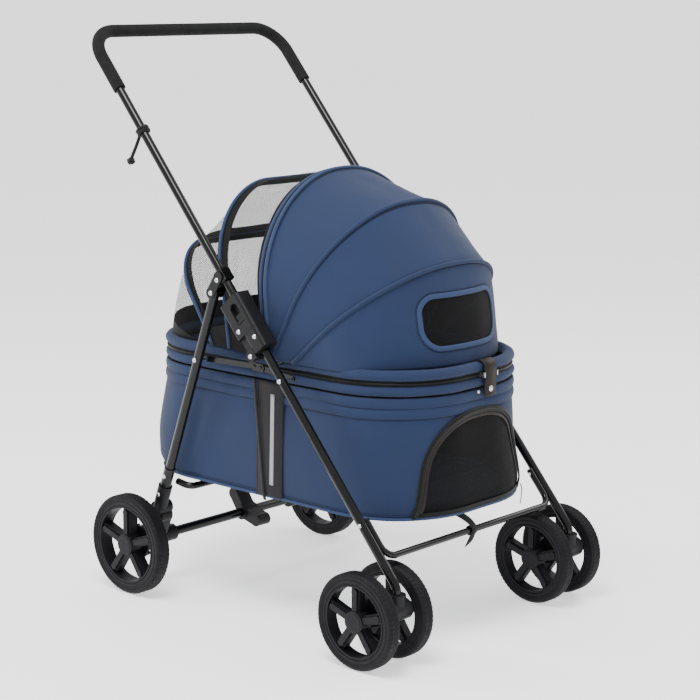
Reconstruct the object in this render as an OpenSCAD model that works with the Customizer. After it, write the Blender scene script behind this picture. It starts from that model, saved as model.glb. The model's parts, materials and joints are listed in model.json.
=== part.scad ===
// Folding four-wheel pet stroller with a hooped fabric carrier.
// +X is forward, +Y is the stroller's left, +Z is up, and the floor is Z = 0.
// The origin is on the floor, in the middle of the stroller's length and width.

/* [Frame] */
// Height of the top of the foam grip above the floor
handle_height = 990; // [970:1:1000]
// Half the distance between the two front legs' centre lines
frame_half = 228; // [226:1:232]
// Angle of the front legs and the handle from the floor
leg_angle = 50; // [49.5:0.1:50.5]
// Radius of the main frame tubes
tube_r = 7.5; // [7:0.1:8]
// Wall of the frame tubes
tube_wall = 1.2; // [1:0.1:1.5]
// Radius of the foam grip
grip_r = 11; // [10:0.5:13]

/* [Wheels] */
// Distance from the rear axle to the front axles
wheelbase = 559; // [550:1:565]
// Radius of a rear tyre
rear_r = 89; // [87:0.5:90]
// Width of a rear tyre
rear_w = 29; // [26:1:30]
// Radius of a front tyre
front_r = 79; // [77:0.5:80]
// Width of a front tyre
front_w = 25; // [22:1:26]
// Distance from a caster's swivel axis back to its axle
trail = 44; // [42:1:46]
// Radius of the wheel axles
axle_r = 4; // [4:0.5:5]

/* [Carrier] */
// Length of the fabric tray
tray_l = 640; // [630:1:645]
// Half the width of the fabric tray
tray_half = 190; // [186:1:190]
// Corner radius of the tray, seen from above
corner_r = 150; // [140:1:155]
// Height of the tray's bottom above the floor
tray_z = 210; // [209:1:212]
// Radius of the padded rim tubes
rim_r = 10; // [9:0.5:10]
// Radius of the canopy's hoop wires
wire_r = 2.5; // [2:0.1:2.5]

/* [Hidden] */
$fn = 64;

gap = 0.4;                 // clearance between pieces of different bodies
run = 0.05;                // radial running clearance on shafts and pins
pin_r = 2.5;               // rivets and pivot pins
left = 1;
right = -1;

// Places along X, all from the rear axle, which stands so that the whole length is centred on X = 0
knee_z = 134;              // where the front leg's line meets the caster's swivel axis
top_x = wheelbase + trail - (handle_height - grip_r - knee_z) / tan(leg_angle);
rear_x = -(top_x - grip_r + wheelbase + front_r) / 2;
front_x = rear_x + wheelbase;
swivel_x = front_x + trail;
top_run = round((handle_height - grip_r - knee_z) / sin(leg_angle) * 100) / 100;

// Runs along the leg line, from the knee up
bar_run = 112;             // rivet of the front bar
stay_run = 384;            // rivet of the side stay
lock_run = [444, 481, 547];  // foot, seam and head of the lock
pivot_run = 447;           // the handle's fold pivot
pivot_off = -20.6;         // the pivot stands this far behind the tube's axis
bracket_run = 581;         // pivot of the rear leg on its bracket
bracket_off = -34.4;
grip_run = 978;            // lower end of the foam grip
handle_corner = 56;        // bend radius of the handle's corners

function on_line(t, n = 0) = [swivel_x - t * cos(leg_angle) + n * sin(leg_angle),
    knee_z + t * sin(leg_angle) + n * cos(leg_angle)];
fold_at = on_line(pivot_run, pivot_off);
leg_at = on_line(bracket_run, bracket_off);

// The rear leg leans inwards from its bracket down to the rear axle
foot_half = 198;
leg_top = [leg_at[0], frame_half, leg_at[1]];
leg_foot = [rear_x, foot_half, rear_r];
function down_leg(f) = leg_top + (leg_foot - leg_top) * f;
rear_leg_r = 8;
sleeve_from = 0.7;         // the thicker lower sleeve starts here, as a share of the leg's length
collar_from = 0.775;       // the plastic foot starts here

stay_half = 203.5;           // the side stays lie in this plane
stay_front = on_line(stay_run);
stay_rear = [down_leg(0.26)[0], down_leg(0.26)[2]];

// Carrier
tray_x0 = rear_x - 56;
tray_x1 = tray_x0 + tray_l;
wall_t = 6;
rim_half = tray_half - rim_r;
tray_rim_z = 422;
lid_rim_z = 447;
tray_top = tray_rim_z - rim_r - gap;
pivot_x = rear_x + 320;    // the canopy hoops fan out from this axis
panel_z = lid_rim_z + rim_r + 2;
panel_t = 2.5;
// angle, height and corner radius of each hoop, and its half width
front_hoop = [37.2, 270, 181, 193.5];
middle_hoop = [67.3, 280.5, 186, 199.5];
zip_hoop = [97.2, 305, 190, 205.5];
eyelet_r = 6;
latch_w = 30;
latch_x = tray_x1 + 5.5;
latch_y = 18;
latch_z = tray_rim_z + 13.5;

// ---------- tools ----------
module side(s) {
    if (s == right)
        mirror([0, 1, 0]) children();
    else
        children();
}

// Local Z runs up the leg line and local X stands forward of it
module along(t, n = 0, y = frame_half) {
    p = on_line(t, n);
    translate([p[0], y, p[1]]) rotate([0, leg_angle - 90, 0]) children();
}

module ring(r, wall) {
    difference() {
        circle(r);
        if (wall > 0)
            circle(r - wall);
    }
}

module pipe(a, b, r, wall = 0) {
    d = b - a;
    translate(a) rotate([0, acos(d[2] / norm(d)), atan2(d[1], d[0])]) linear_extrude(norm(d)) ring(r, wall);
}

// A U of tube in the XY plane: its arms run along X from x0, and its far side crosses at x1
module u_tube(x0, x1, half, bend, r, wall = 0) {
    for (y = [-1, 1]) {
        translate([x0, y * half, 0]) rotate([0, 90, 0]) linear_extrude(x1 - bend - x0) ring(r, wall);
        translate([x1 - bend, y * (half - bend), 0]) rotate(y > 0 ? 0 : -90)
            rotate_extrude(angle = 90) translate([bend, 0]) ring(r, wall);
    }
    translate([x1, bend - half, 0]) rotate([-90, 0, 0]) linear_extrude(2 * (half - bend)) ring(r, wall);
}

// Turns a U so that its arms run up or down the leg line from a given run
module u_along(t, down = 0) {
    along(t, 0, 0) rotate([0, down ? 90 : -90, 0]) children();
}

module across(r, y0, y1) {
    translate([0, y0, 0]) rotate([-90, 0, 0]) cylinder(r = r, h = y1 - y0);
}

module at(p, y = 0) {
    translate([p[0], y, p[1]]) children();
}

module rivet_head(y) {
    translate([0, y, 0]) rotate([-90, 0, 0]) cylinder(r1 = 4.2, r2 = 2.6, h = 1.8);
}

// A plate in the XZ plane: two round ends joined by a straight bar
module link_plate(a, b, r, y0, y1) {
    d = b - a;
    translate([0, y1, 0]) rotate([90, 0, 0]) linear_extrude(y1 - y0) {
        translate(a) circle(r);
        translate(b) circle(r);
        translate(a) rotate(atan2(d[1], d[0])) translate([0, -0.94 * r]) square([norm(d), 1.88 * r]);
    }
}

module round_box_2d(x0, x1, half, r) {
    translate([x0 + r, -half]) square([x1 - x0 - 2 * r, 2 * half]);
    translate([x0, -half + r]) square([x1 - x0, 2 * half - 2 * r]);
    for (x = [x0 + r, x1 - r], y = [-half + r, half - r])
        translate([x, y]) circle(r);
}

// A ring of tube that follows the tray's outline
module rim_ring(z, r) {
    c = corner_r - rim_r;
    x0 = tray_x0 + rim_r;
    x1 = tray_x1 - rim_r;
    for (x = [x0 + c, x1 - c], y = [-1, 1])
        translate([x, y * (rim_half - c), z]) rotate(x < x0 + 1.5 * c ? (y > 0 ? 90 : 180) : (y > 0 ? 0 : 270))
            rotate_extrude(angle = 90) translate([c, 0]) circle(r);
    for (y = [-1, 1])
        pipe([x0 + c, y * rim_half, z], [x1 - c, y * rim_half, z], r);
    for (x = [x0, x1])
        pipe([x, c - rim_half, z], [x, rim_half - c, z], r);
}

// ---------- front frame ----------
knee_r = 30;               // bend of the leg above the caster
knee_run = round(knee_r * tan((90 - leg_angle) / 2) * 100) / 100;
stem_z = knee_z - knee_run;
module front_leg(s) {
    color("#18181a") side(s) {
        difference() {
            along(0) {
                translate([0, 0, knee_run]) linear_extrude(lock_run[1] - 3 - knee_run) ring(tube_r, tube_wall);
                translate([-knee_r, 0, knee_run]) rotate([-90, 0, 0])
                    rotate_extrude(angle = 90 - leg_angle) translate([knee_r, 0]) ring(tube_r, tube_wall);
            }
            for (t = [bar_run, stay_run])
                along(t) across(pin_r + run, -30, 30);
        }
        translate([swivel_x, frame_half, stem_z]) {
            translate([0, 0, -16]) cylinder(r = tube_r, h = 15.97);
            translate([0, 0, -1]) cylinder(r = tube_r - tube_wall - 0.3, h = 4);
        }
    }
}

front_bar_half = 214.5;
module front_bar() {
    color("#18181a") difference() {
        u_along(bar_run + 8, 1) u_tube(0, bar_run - 42, front_bar_half, 22, 5.5, tube_wall);
        along(bar_run, 0, 0) across(pin_r + run, -400, 400);
    }
}

// Outline of the lock across its tube: X forward, Y outwards
module lock_2d(back, front, half) {
    r = 7;
    translate([back, -half + r]) square([front - back, 2 * half - 2 * r]);
    translate([back + r, -half]) square([front - back - 2 * r, 2 * half]);
    for (x = [back + r, front - r], y = [-half + r, half - r])
        translate([x, y]) circle(r);
}

lock_half = 16.5;
lock_back = -30;
lock_front = 21;
arm_half = 8;
arm_front = -12.6;
module lock_base(s) {
    color("#222226") side(s) difference() {
        union() {
            along(lock_run[0]) linear_extrude(lock_run[1] - lock_run[0]) lock_2d(-12, lock_front, lock_half);
            for (y = [-lock_half, arm_half + gap])
                along(pivot_run, pivot_off) {
                    across(9.4, y, y + lock_half - arm_half - gap);
                    translate([0, y, -9.4]) cube([12, lock_half - arm_half - gap, 18.8]);
                }
        }
        along(lock_run[0] - 20) cylinder(r = tube_r + run, h = 100);
        along(pivot_run, pivot_off) across(pin_r + run, -30, 30);
    }
}

module front_rivets() {
    color("#c9cacc") for (s = [left, right])
        side(s) {
            along(pivot_run, pivot_off) {
                across(pin_r, -lock_half - 2.6, lock_half + 0.1);
                rivet_head(lock_half + 0.1);
            }
            along(pivot_run + 20, 9) rivet_head(lock_half + 0.02);
            along(bar_run) {
                across(pin_r, -tube_r - 12, tube_r);
                rivet_head(tube_r);
            }
            along(stay_run) {
                across(pin_r, stay_half - frame_half - 2.6, tube_r);
                rivet_head(tube_r);
            }
        }
}

// ---------- handle ----------
module handle_tube() {
    foot = lock_run[1] + 3;
    color("#18181a") u_along(foot) u_tube(0, top_run - foot, frame_half, handle_corner, tube_r, tube_wall);
}

module handle_grip() {
    color("#1f1f21") u_along(grip_run)
        u_tube(0, top_run - grip_run, frame_half, handle_corner, grip_r, grip_r - tube_r - run);
}

window_run = [500, 536];
module lock_shell(s) {
    color("#222226") side(s) difference() {
        union() {
            along(lock_run[1] + gap) linear_extrude(lock_run[2] - lock_run[1] - gap)
                lock_2d(lock_back, lock_front, lock_half);
            along(pivot_run) translate([lock_back + 1.4, -arm_half, 0])
                cube([arm_front - lock_back - 1.4, 2 * arm_half, 60]);
            along(pivot_run, pivot_off) across(8, -arm_half, arm_half);
        }
        along(lock_run[0]) cylinder(r = tube_r + run, h = 200);
        along(pivot_run, pivot_off) across(pin_r + run, -30, 30);
        along(window_run[0]) translate([-9, tube_r + 1, 0]) cube([18, 20, window_run[1] - window_run[0] - 9]);
        along(window_run[1] - 9) rotate([-90, 0, 0]) translate([0, 0, tube_r + 1]) cylinder(r = 9, h = 20);
    }
}

slide_travel = 8;
module lock_slide(s) {
    color("#141416") side(s) along(window_run[0] + gap) {
        translate([-8.4, tube_r + 1.4, 0]) cube([16.8, 5.6, 16]);
        translate([-8.4, tube_r + 7, 1]) cube([16.8, 2, 4]);
    }
}

plate_in = 9.6;
module leg_bracket(s) {
    a = [bracket_off, 0];
    b = [-2, 10];
    color("#18181a") side(s) difference() {
        along(bracket_run) {
            link_plate(a, b, 9.5, plate_in, plate_in + 2.4);
            link_plate(a, b, 9.5, -plate_in - 2.4, -plate_in);
            translate([-11, -plate_in, -2]) cube([22, 2 * plate_in, 22]);
        }
        along(bracket_run - 40) cylinder(r = tube_r + run, h = 100);
        along(bracket_run, bracket_off) across(pin_r + run, -20, 20);
    }
}

module handle_rivets() {
    y = plate_in + 2.4;
    color("#c9cacc") for (s = [left, right])
        side(s) {
            along(bracket_run, bracket_off) {
                across(pin_r, -y, y + 0.02);
                rivet_head(y + 0.02);
            }
            along(bracket_run + 8, -8) rivet_head(y + 0.02);
            along(lock_run[1] + 12, -17) rivet_head(lock_half + 0.02);
        }
}

// A cord tied round the right handle tube: one round knot and two short tails
tie_run = 889;
module handle_tie() {
    color("#151515") side(right) along(tie_run) {
        rotate_extrude() translate([tube_r + 2.6, 0]) circle(2.4);
        translate([-tube_r - 8, 0, -2]) sphere(5);
    }
    p = on_line(tie_run, -tube_r - 11);
    color("#151515") {
        pipe([p[0], -frame_half, p[1] - 6], [p[0] - 16, -frame_half - 2, p[1] - 44], 2.2);
        pipe([p[0] - 8, -frame_half + 5, p[1] - 5], [p[0] - 25, -frame_half + 6, p[1] - 50], 2.2);
    }
}

// ---------- rear frame ----------
module rear_leg(s) {
    d = (leg_foot - leg_top) / norm(leg_foot - leg_top);
    color("#18181a") side(s) difference() {
        union() {
            pipe(leg_top - d * 8, down_leg(collar_from + 0.04), rear_leg_r, tube_wall);
            pipe(down_leg(sleeve_from), down_leg(collar_from + 0.038), rear_leg_r + 1.8, 1.8 - run);
        }
        at(leg_at) across(pin_r + run, 0, 400);
        at(stay_rear) across(pin_r + run, 0, 400);
    }
}

foot_w = 16;
foot_boss_w = 50;
module rear_foot(s) {
    a = down_leg(collar_from);
    b = down_leg(0.87);
    m = [rear_x + 24, rear_r + 46];
    color("#1c1c1f") side(s) difference() {
        union() {
            pipe(a, b, 12.5);
            link_plate([b[0], b[2]], m, 12, foot_half - foot_w, foot_half + foot_w - 8);
            link_plate(m, [rear_x + 4, rear_r], 14, foot_half - foot_w, foot_half + foot_w - 8);
            link_plate([b[0], b[2]], [rear_x, rear_r], 13, foot_half - foot_w, foot_half + foot_w - 2);
            at([rear_x, rear_r]) across(15, foot_half - foot_boss_w, foot_half + foot_w);
        }
        pipe(down_leg(collar_from - 0.04), down_leg(collar_from + 0.0405), rear_leg_r + 1.8 + run);
        at([rear_x, rear_r]) across(8.5 + run, 0, foot_half - foot_boss_w + 30);
        at([rear_x, rear_r]) across(axle_r + run, 0, 400);
        at([rear_x, rear_r + cog_at]) across(brake_pin_r + run, 0, 400);
    }
}

bar_tilt = 8;
module rear_bar() {
    p = down_leg(0.75);
    color("#18181a") translate([p[0] + 12, 0, p[2] - 4]) rotate([0, bar_tilt, 0]) u_tube(0, 32, 191, 14, 6, tube_wall);
}

module rear_axle() {
    y = foot_half - foot_boss_w + 29.5;
    color("#18181a") at([rear_x, rear_r]) {
        across(8.5, -y, y);
        across(axle_r, -track_out + 2, track_out - 2);
    }
}

module rear_rivets() {
    color("#c9cacc") for (s = [left, right])
        side(s) {
            at(stay_rear) {
                across(pin_r, stay_half - 2.6, down_leg(0.26)[1] + rear_leg_r + 1);
                rivet_head(down_leg(0.26)[1] + rear_leg_r + 1);
            }
            translate([down_leg(0.735)[0], down_leg(0.735)[1], down_leg(0.735)[2]]) rivet_head(rear_leg_r + 2.1);
            translate([down_leg(0.81)[0], down_leg(0.81)[1], down_leg(0.81)[2]]) rivet_head(12.8);
        }
}

// The stay's rear end stands on the rear leg's rivet, where the closed linkage is opened
module side_stay(s) {
    m = [stay_front[0] * 0.66 + stay_rear[0] * 0.34, stay_front[1] * 0.66 + stay_rear[1] * 0.34 + 6];
    n = m + [-15, 1];
    k = n + [-11, 13];
    color("#18181a") side(s) difference() {
        union() {
            link_plate(stay_front, m, 5, stay_half - 1.4, stay_half + 1.4);
            link_plate(n, stay_rear, 5, stay_half - 1.4, stay_half + 1.4);
            link_plate(m, n, 7, stay_half + 1, stay_half + 3);
            link_plate(n, k, 5, stay_half + 1, stay_half + 3);
            for (p = [m, n, k])
                at(p) rivet_head(stay_half + 3);
        }
        at(stay_front) across(pin_r + run, 0, 400);
        at(stay_rear) across(pin_r + 4, 0, 400);
    }
}

// ---------- brake ----------
pedal_y = 40;
module brake_pedal() {
    color("#141416") at([rear_x, rear_r]) difference() {
        union() {
            across(14, pedal_y - 17, pedal_y + 17);
            for (p = [[36, -10], [-22, 32]])
                link_plate([0, 0], p, 11, pedal_y - 15, pedal_y + 15);
        }
        across(8.5 + run, -100, 200);
    }
}

cog_at = 24;
brake_pin_r = 3;
pin_travel = 7;
module brake_pin(s) {
    color("#8f9094") side(s) at([rear_x, rear_r + cog_at])
        across(brake_pin_r, foot_half - foot_w + 2, track_in - 14.5);
}

// ---------- wheels ----------
track_in = 234;
track_out = track_in + rear_w;

module tyre_2d(r, w, depth) {
    e = 6;
    translate([r - depth, -w / 2]) square([depth - e, w]);
    translate([r - e, e - w / 2]) square([e, w - 2 * e]);
    for (y = [e - w / 2, w / 2 - e])
        translate([r - e, y]) circle(e);
}

module tyre(r, w, depth) {
    rotate([90, 0, 0]) rotate_extrude() difference() {
        tyre_2d(r, w, depth);
        for (x = [r - 7, r - 12], y = [-1, 1])
            translate([x, y * w / 2]) circle(0.8);
        for (y = [-4, 4])
            translate([r, y]) circle(0.9);
    }
}

spokes = 5;
module wheel_centre(r, w, bore, hub_r) {
    rotate([90, 0, 0]) {
        rotate_extrude() difference() {
            translate([r - 9, -w / 2 + 1]) square([9, w - 2]);
            for (y = [w / 2 - 1, 1 - w / 2])
                translate([r - 5, y]) circle(1.6);
        }
        difference() {
            union() {
                translate([0, 0, -w / 2]) cylinder(r = hub_r, h = w);
                translate([0, 0, w / 2 - 0.5]) cylinder(r1 = hub_r - 1, r2 = hub_r - 4, h = 1.7);
                for (i = [0:spokes - 1])
                    rotate(i * 360 / spokes + 90) {
                        translate([0, 0, -w / 2 + 6]) linear_extrude(w - 12)
                            polygon([[7, -7.4], [r - 7, -8.6], [r - 7, 8.6], [7, 7.4]]);
                        translate([0, 0, -w / 2 + 2]) linear_extrude(w - 4) {
                            translate([7, -5]) square([r - 24, 10]);
                            translate([r - 17, 0]) circle(5.6);
                        }
                    }
            }
            translate([0, 0, -w]) cylinder(r = bore, h = w + w / 2 - 1);
        }
    }
}

cog_slots = 12;
module brake_cog() {
    rotate([-90, 0, 0]) difference() {
        cylinder(r = cog_at + 6, h = 12);
        translate([0, 0, -1]) cylinder(r = cog_at - 6, h = 14);
        for (i = [0:cog_slots - 1])
            rotate(i * 360 / cog_slots + 90) translate([cog_at - 4.5, -4, -1]) cube([12, 8, 10]);
    }
}

rear_depth = 14;
front_depth = 13;
module rear_wheel(s) {
    color("#26262a") side(s) translate([rear_x, 0, rear_r]) {
        translate([0, track_in + rear_w / 2, 0]) mirror([0, 1, 0])
            wheel_centre(rear_r - rear_depth - run, rear_w, axle_r + run, 18.5);
        translate([0, track_in - 12, 0]) brake_cog();
        difference() {
            across(cog_at - 5, track_in - 2, track_in + 4);
            across(axle_r + run, 0, 400);
        }
    }
}

module rear_tyre(s) {
    color("#1b1b1d") side(s) translate([rear_x, track_in + rear_w / 2, rear_r]) tyre(rear_r, rear_w, rear_depth);
}

twin = 40;
module front_at(s, out) {
    side(s) translate([front_x, frame_half + out * twin, front_r]) mirror([0, out > 0 ? 1 : 0, 0]) children();
}

module front_wheel(s, out) {
    color("#26262a") front_at(s, out) wheel_centre(front_r - front_depth - run, front_w, axle_r + run, 18);
}

module front_tyre(s, out) {
    color("#1b1b1d") front_at(s, out) tyre(front_r, front_w, front_depth);
}

// Fork block between the twin wheels, its swivel socket, lock lever and axle
module caster(s) {
    w = 21;
    c = [swivel_x, 96];
    a = [front_x, front_r];
    color("#1c1c1f") side(s) {
        difference() {
            union() {
                at([0, 0], frame_half) {
                    link_plate(c, a, 17, -w, w);
                    link_plate(c + [-22, 12], a + [0, 8], 14, -w, w);
                    link_plate(a + [-16, -2], a + [-24, 14], 6, -w + 4, w - 4);
                }
                translate([swivel_x, frame_half, 94]) cylinder(r = 15, h = 28.8);
            }
            translate([swivel_x, frame_half, 106]) cylinder(r = tube_r + run, h = 60);
            at(a) across(axle_r + run, 0, 400);
        }
        at(a) across(axle_r, frame_half - twin - front_w / 2 + 2, frame_half + twin + front_w / 2 - 2);
    }
}

// ---------- carrier ----------
module tray_2d(inset) {
    round_box_2d(tray_x0 + inset, tray_x1 - inset, tray_half - inset, corner_r - inset);
}

door_half = 128;
door_z = [224, 366];
module door_shape(grow) {
    r = 70;
    h = door_half + grow;
    z0 = door_z[0] - grow;
    z1 = door_z[1] + grow;
    rotate([90, 0, 90]) linear_extrude(200) {
        translate([-h, z0]) square([2 * h, z1 - z0 - r]);
        translate([-h + r, z0]) square([2 * h - 2 * r, z1 - z0]);
        for (y = [-h + r, h - r])
            translate([y, z1 - r]) circle(r);
    }
}

module tray() {
    color("#3c5078") difference() {
        translate([0, 0, tray_z]) linear_extrude(tray_top - tray_z) tray_2d(0);
        translate([0, 0, tray_z + 4]) linear_extrude(300) tray_2d(wall_t);
        translate([tray_x1 - 120, 0, 0]) door_shape(0);
    }
}

module mesh_door() {
    color("#121316") intersection() {
        translate([0, 0, tray_z]) linear_extrude(200) difference() {
            tray_2d(2);
            tray_2d(4);
        }
        translate([tray_x1 - 120, 0, 0]) door_shape(-0.3);
    }
}

module tray_rim() {
    color("#3c5078") rim_ring(tray_rim_z, rim_r);
}

module floor_board() {
    color("#2a2a2c") translate([0, 0, tray_z + 4.2]) linear_extrude(4) tray_2d(wall_t + 3);
}

module floor_pad() {
    color("#33405e") translate([0, 0, tray_z + 8.6]) linear_extrude(24) tray_2d(wall_t + 6);
}

// Side bands with their webbing, and the strap round the front bar
band_x = [rear_x + 262, rear_x + 325];
module carrier_straps() {
    bar = on_line(50);
    color("#1a1b1f") {
        for (s = [left, right])
            side(s) {
                translate([band_x[0], tray_half + 0.3, tray_z + 4])
                    cube([band_x[1] - band_x[0], 1.4, tray_top - tray_z - 8]);
                translate([band_x[0] + 16, tray_half + 2, tray_z]) cube([10, 1.6, 200]);
            }
        translate([bar[0], 0, bar[1]]) difference() {
            across(8.5, -10, 10);
            across(6.6, -20, 20);
        }
        translate([bar[0] - 1, -10, bar[1] + 8.4]) cube([2, 20, tray_z - bar[1] - 8.6]);
        translate([bar[0] - 12, -10, bar[1] - 24]) rotate([0, 20, 0]) cube([2, 20, 16]);
    }
}

// ---------- lid ----------
module lid_rim() {
    color("#3c5078") rim_ring(lid_rim_z, rim_r);
}

module hoop_wire(x, angle, height, corner, half, from) {
    translate([x, 0, lid_rim_z]) rotate([0, -angle, 0]) u_tube(from, height, half, corner, wire_r);
}

// angle, height, corner radius, half width and base of the mesh hood's wires, front to back
hood = [[97.7, 304, 186, 199, rear_x + 309], [99.9, 290.5, 147, 197, rear_x + 205],
    [121.9, 212, 98, 195, rear_x + 160]];
module hood_wires() {
    color("#2c3d63") for (h = hood)
        hoop_wire(h[4], h[0], h[1] - 5, h[2] - 5, h[3] - 5, 16);
}

// Pivot pins of the hoops, and the two lugs and pin that carry the front latch
module canopy_pins() {
    color("#c9cacc") {
        for (s = [left, right])
            side(s) at([pivot_x, lid_rim_z]) across(pin_r, tray_half + 0.05, 208.4);
        at([latch_x, latch_z]) across(1.45, latch_y - latch_w / 2 - 3, latch_y + latch_w / 2 + 3);
        for (y = [latch_y - latch_w / 2 - 2.6, latch_y + latch_w / 2 + gap])
            translate([latch_x - 9, y, latch_z - 4]) cube([12, 2.2, 8]);
    }
}

module front_latch() {
    color("#1d1612") difference() {
        translate([latch_x - 3.5, latch_y - latch_w / 2, tray_rim_z - 24]) cube([7, latch_w, 44]);
        at([latch_x, latch_z]) across(1.5, -30, 60);
    }
    color("#c9cacc") translate([latch_x + 3.52, latch_y, tray_rim_z - 8]) rotate([0, 90, 0])
        cylinder(r1 = 5.5, r2 = 4, h = 2.2);
}

// ---------- canopy ----------
module canopy_hoop(h) {
    difference() {
        union() {
            hoop_wire(pivot_x, h[0], h[1], h[2], h[3], 4);
            for (s = [left, right])
                side(s) at([pivot_x, lid_rim_z]) across(eyelet_r, h[3] - wire_r - 0.3, h[3] + wire_r + 0.3);
        }
        at([pivot_x, lid_rim_z]) across(pin_r + run, -300, 300);
    }
}

module zip_hoop() {
    color("#101114") canopy_hoop(zip_hoop);
}

module middle_hoop() {
    color("#2c3d63") canopy_hoop(middle_hoop);
}

module front_hoop() {
    color("#2c3d63") canopy_hoop(front_hoop);
}

// One half-rib of fabric: points from the rim up to the middle of the hoop, then mirrored
ribs = 9;
function rib_point(s, height, corner, half) =
    s < height - corner ? [s, half]
    : s < height - corner + corner * PI / 2 ?
        let (a = (s - height + corner) / corner * 180 / PI)
        [height - corner + corner * sin(a), half - corner + corner * cos(a)]
    : [height, half - corner - (s - height + corner - corner * PI / 2)];

function rib(x, angle, height, corner, half, shift, in = 0) =
    let (u = [cos(angle), sin(angle)], w = [-sin(angle), cos(angle)])
    let (b = [x, lid_rim_z] + w * shift, hh = height - in, ww = half - in, cc = corner - in)
    let (h0 = b[1] >= panel_z ? 0 : (panel_z - b[1]) / u[1], side_l = hh - cc)
    let (s0 = h0 <= side_l ? h0 : side_l + cc * asin(min(1, (h0 - side_l) / cc)) * PI / 180)
    let (s1 = side_l + cc * PI / 2 + ww - cc)
    let (half_pts = [for (k = [0:ribs]) rib_point(s0 + (s1 - s0) * k / ribs, hh, cc, ww)])
    concat([for (p = half_pts) [b[0] + u[0] * p[0], p[1], b[1] + u[1] * p[0]]],
        [for (k = [ribs - 1:-1:0]) let (p = half_pts[k]) [b[0] + u[0] * p[0], -p[1], b[1] + u[1] * p[0]]]);

// A closed thin shell through rows of outer points and rows of inner points
module shell(outer, inner) {
    rows = len(outer);
    n = len(outer[0]);
    pts = concat([for (r = outer) each r], [for (r = inner) each r]);
    o = rows * n;
    function quad(a, b, c, d) = [[a, b, c], [a, c, d]];
    faces = concat(
        [for (i = [0:rows - 2], j = [0:n - 2])
            each quad(i * n + j, i * n + j + 1, (i + 1) * n + j + 1, (i + 1) * n + j)],
        [for (i = [0:rows - 2], j = [0:n - 2])
            each quad(o + i * n + j, o + (i + 1) * n + j, o + (i + 1) * n + j + 1, o + i * n + j + 1)],
        [for (i = [0:rows - 2]) each quad(i * n, (i + 1) * n, o + (i + 1) * n, o + i * n)],
        [for (i = [0:rows - 2])
            each quad(o + i * n + n - 1, o + (i + 1) * n + n - 1, (i + 1) * n + n - 1, i * n + n - 1)],
        [for (j = [0:n - 2]) each quad(o + j, o + j + 1, j + 1, j)],
        [for (j = [0:n - 2])
            each quad((rows - 1) * n + j, (rows - 1) * n + j + 1, o + (rows - 1) * n + j + 1, o + (rows - 1) * n + j)]);
    polyhedron(pts, faces);
}

heights = [[3, 256], [8, 262], [22, 272], [37.2, 270], [67.3, 280.5], [97.2, 305]];
corners = [[3, 146], [37.2, 181], [67.3, 186], [97.2, 190]];
halves = [[3, 187], [37.2, 193.5], [67.3, 199.5], [97.2, 205.5]];
clear = wire_r + 0.8;
module canopy_panel(a0, a1, shift0, shift1, steps) {
    function row(f, in) = let (a = a0 + (a1 - a0) * f)
        rib(pivot_x, a, lookup(a, heights), lookup(a, corners), lookup(a, halves), shift0 + (shift1 - shift0) * f, in);
    shell([for (i = [0:steps]) row(i / steps, 0)], [for (i = [0:steps]) row(i / steps, panel_t)]);
}

module rear_panel() {
    color("#3c5078") canopy_panel(middle_hoop[0], zip_hoop[0], clear, -clear, 4);
}

module middle_panel() {
    color("#3c5078") canopy_panel(front_hoop[0], middle_hoop[0], clear, -clear, 4);
}

module front_panel() {
    color("#3c5078") canopy_panel(3.2, front_hoop[0], 0, -clear, 6);
}

module hood_mesh() {
    back = [179.4, 150, 148, 186, rear_x + 96];
    keys = concat(hood, [back]);
    function row(i, in) = let (h = keys[i]) rib(h[4], h[0], h[1], h[2], h[3], i == 3 ? -13.8 : 0, in);
    function mix(i, f, in) = let (a = row(i, in), b = row(i + 1, in)) a * (1 - f) + b * f;
    rows = [for (i = [0:2], f = [0, 0.5]) [i, f]];
    color("#15171c") shell(concat([for (r = rows) mix(r[0], r[1], 0)], [row(3, 0)]),
        concat([for (r = rows) mix(r[0], r[1], panel_t)], [row(3, panel_t)]));
}

front_leg(left);  // front_leg_left
front_leg(right);  // front_leg_right
front_bar();
lock_base(left);  // lock_base_left
lock_base(right);  // lock_base_right
front_rivets();
handle_tube();
handle_grip();
lock_shell(left);  // lock_shell_left
lock_shell(right);  // lock_shell_right
lock_slide(left);  // lock_slide_left
lock_slide(right);  // lock_slide_right
leg_bracket(left);  // leg_bracket_left
leg_bracket(right);  // leg_bracket_right
handle_rivets();
handle_tie();
rear_leg(left);  // rear_leg_left
rear_leg(right);  // rear_leg_right
rear_foot(left);  // rear_foot_left
rear_foot(right);  // rear_foot_right
rear_bar();
rear_axle();
rear_rivets();
side_stay(left);  // side_stay_left
side_stay(right);  // side_stay_right
brake_pedal();
brake_pin(left);  // brake_pin_left
brake_pin(right);  // brake_pin_right
rear_wheel(left);  // rear_wheel_left
rear_wheel(right);  // rear_wheel_right
rear_tyre(left);  // rear_tyre_left
rear_tyre(right);  // rear_tyre_right
caster(left);  // caster_left
caster(right);  // caster_right
front_wheel(left, 1);  // front_wheel_left_outer
front_wheel(left, -1);  // front_wheel_left_inner
front_wheel(right, -1);  // front_wheel_right_inner
front_wheel(right, 1);  // front_wheel_right_outer
front_tyre(left, 1);  // front_tyre_left_outer
front_tyre(left, -1);  // front_tyre_left_inner
front_tyre(right, -1);  // front_tyre_right_inner
front_tyre(right, 1);  // front_tyre_right_outer
tray();
tray_rim();
floor_board();
floor_pad();
mesh_door();
carrier_straps();
lid_rim();
hood_wires();
hood_mesh();
canopy_pins();
front_latch();
zip_hoop();
middle_hoop();
front_hoop();
rear_panel();
middle_panel();
front_panel();
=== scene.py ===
import json
import math

import bmesh
import bpy
import numpy as np
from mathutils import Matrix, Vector, noise


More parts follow.
